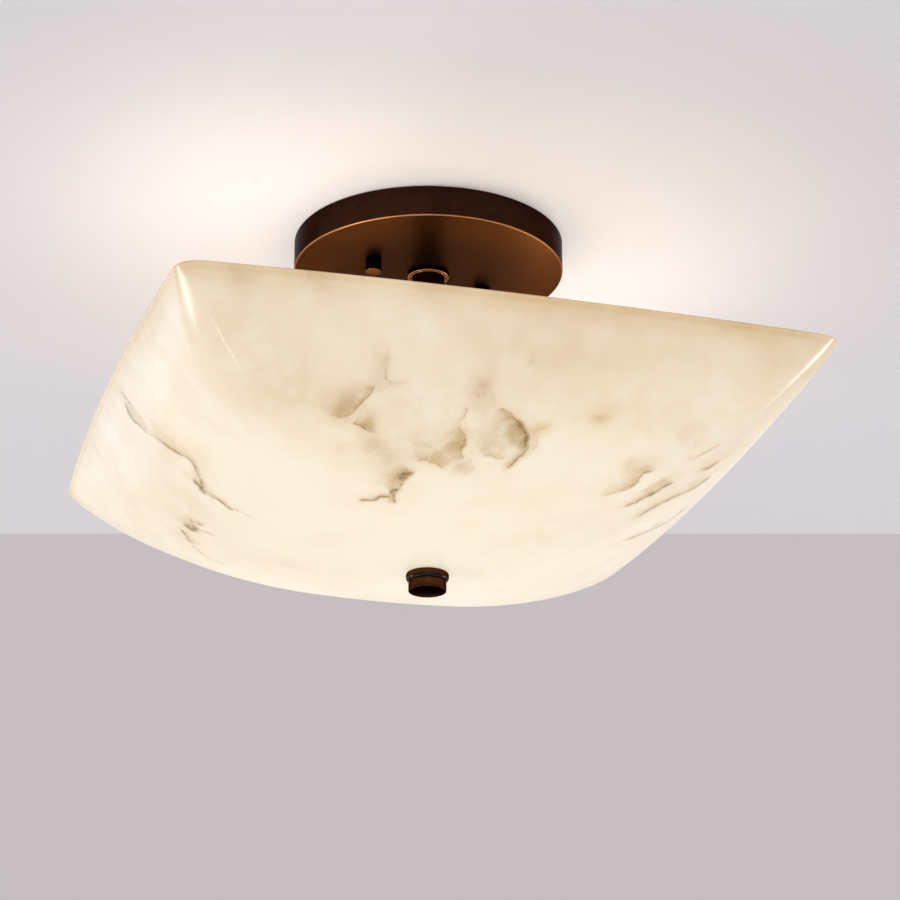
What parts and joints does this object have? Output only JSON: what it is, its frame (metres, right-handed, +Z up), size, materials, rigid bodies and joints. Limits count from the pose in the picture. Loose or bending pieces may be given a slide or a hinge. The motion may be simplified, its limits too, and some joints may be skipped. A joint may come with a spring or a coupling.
{
  "type": "semi flush ceiling light",
  "caption": "Semi flush ceiling light: square marbled glass bowl shade hung by a stem and finial under a round bronze canopy.",
  "frame": {"origin": "centre of the canopy at the ceiling, which is also the centre of the two box screw holes", "axes": "+Z up into the ceiling; the shade's sides run along X and Y; the crossbar, cap nuts and lamps lie on a line turned 17 degrees from X towards Y"},
  "size_m": [0.3474, 0.3474, 0.1992],
  "materials": {
    "bronze": "satin oil-rubbed bronze with coppery rubbed edges",
    "zinc_steel": "bright zinc plating",
    "hub_paint": "satin black-brown paint",
    "green_screw": "green dyed zinc",
    "tinned_brass": "tinned",
    "green_sleeve": "satin wire insulation",
    "black_sleeve": "satin wire insulation",
    "white_sleeve": "satin wire insulation",
    "orange_cap": "moulded, ribbed",
    "green_cap": "moulded, ribbed",
    "rubber": "matt",
    "marbled_glass": "warm cream faux alabaster glass with brown veins, polished outside",
    "black_moulding": "phenolic moulding",
    "fibre": "pressed fibre board",
    "brass": "rolled brass",
    "lamp_solder": "solder",
    "lamp_black_glass": "black glass",
    "lamp_base_metal": "rolled",
    "lamp_white_plastic": "satin",
    "frosted_glass": "frosted white"
  },
  "bodies": {
    "fixture": {"canopy": "bronze", "canopy_lock_washer": "zinc_steel", "canopy_nut": "zinc_steel", "collar": "bronze", "cover_nut": "zinc_steel", "cover_screws": "zinc_steel", "crossbar": "zinc_steel", "crossbar_studs": "zinc_steel", "ground_connector": "green_cap", "ground_lead": "green_sleeve", "ground_screw": "green_screw", "ground_terminal": "tinned_brass", "hot_connector": "orange_cap", "hot_lead_1": "black_sleeve", "hot_lead_2": "black_sleeve", "hub": "hub_paint", "hub_cover": "hub_paint", "hub_nut": "zinc_steel", "lampholder_1_contact": "brass", "lampholder_1_cup": "black_moulding", "lampholder_1_insulator": "fibre", "lampholder_1_nipple": "zinc_steel", "lampholder_1_shell": "brass", "lampholder_2_contact": "brass", "lampholder_2_cup": "black_moulding", "lampholder_2_insulator": "fibre", "lampholder_2_nipple": "zinc_steel", "lampholder_2_shell": "brass", "neutral_connector": "orange_cap", "neutral_lead_1": "white_sleeve", "neutral_lead_2": "white_sleeve", "pipe_lock_nut": "zinc_steel", "seat_nut": "zinc_steel", "shade_pipe": "zinc_steel", "stem": "bronze", "stem_pipe": "zinc_steel", "stud_lock_nuts": "zinc_steel", "upper_gasket": "rubber", "upper_washer": "zinc_steel"},
    "lower_seat": {"lower_gasket": "rubber", "finial_base": "bronze"},
    "shade_bowl": {"shade": "marbled_glass"},
    "finial": {"finial_knob": "bronze"},
    "cap_nut_left": {"cap_nut_1": "bronze"},
    "cap_nut_right": {"cap_nut_2": "bronze"},
    "lamp_right": {"lamp_1_contact": "lamp_solder", "lamp_1_insulator": "lamp_black_glass", "lamp_1_base": "lamp_base_metal", "lamp_1_collar": "lamp_white_plastic", "lamp_1_globe": "frosted_glass"},
    "lamp_left": {"lamp_2_contact": "lamp_solder", "lamp_2_insulator": "lamp_black_glass", "lamp_2_base": "lamp_base_metal", "lamp_2_collar": "lamp_white_plastic", "lamp_2_globe": "frosted_glass"}
  },
  "joints": [
    {"name": "shade_lower", "type": "slide", "parent": "fixture", "child": "lower_seat", "axis": [0, 0, -1], "range_m": [0, 0.15]},
    {"name": "shade_turn", "type": "hinge", "parent": "lower_seat", "child": "shade_bowl", "pos_m": [0, 0, -0.1889], "axis": [0, 0, 1], "continuous": true},
    {"name": "finial_turn", "type": "hinge", "parent": "lower_seat", "child": "finial", "pos_m": [0, 0, -0.194], "axis": [0, 0, 1], "continuous": true},
    {"name": "cap_nut_left_turn", "type": "hinge", "parent": "fixture", "child": "cap_nut_left", "pos_m": [-0.0334, -0.01021, -0.02], "axis": [0, 0, 1], "continuous": true},
    {"name": "cap_nut_right_turn", "type": "hinge", "parent": "fixture", "child": "cap_nut_right", "pos_m": [0.0334, 0.01021, -0.02], "axis": [0, 0, 1], "continuous": true},
    {"name": "lamp_right_turn", "type": "hinge", "parent": "fixture", "child": "lamp_right", "pos_m": [0, 0, -0.1164], "axis": [0.9563, 0.2924, 0], "continuous": true},
    {"name": "lamp_left_turn", "type": "hinge", "parent": "fixture", "child": "lamp_left", "pos_m": [0, 0, -0.1164], "axis": [-0.9563, -0.2924, 0], "continuous": true}
  ]
}
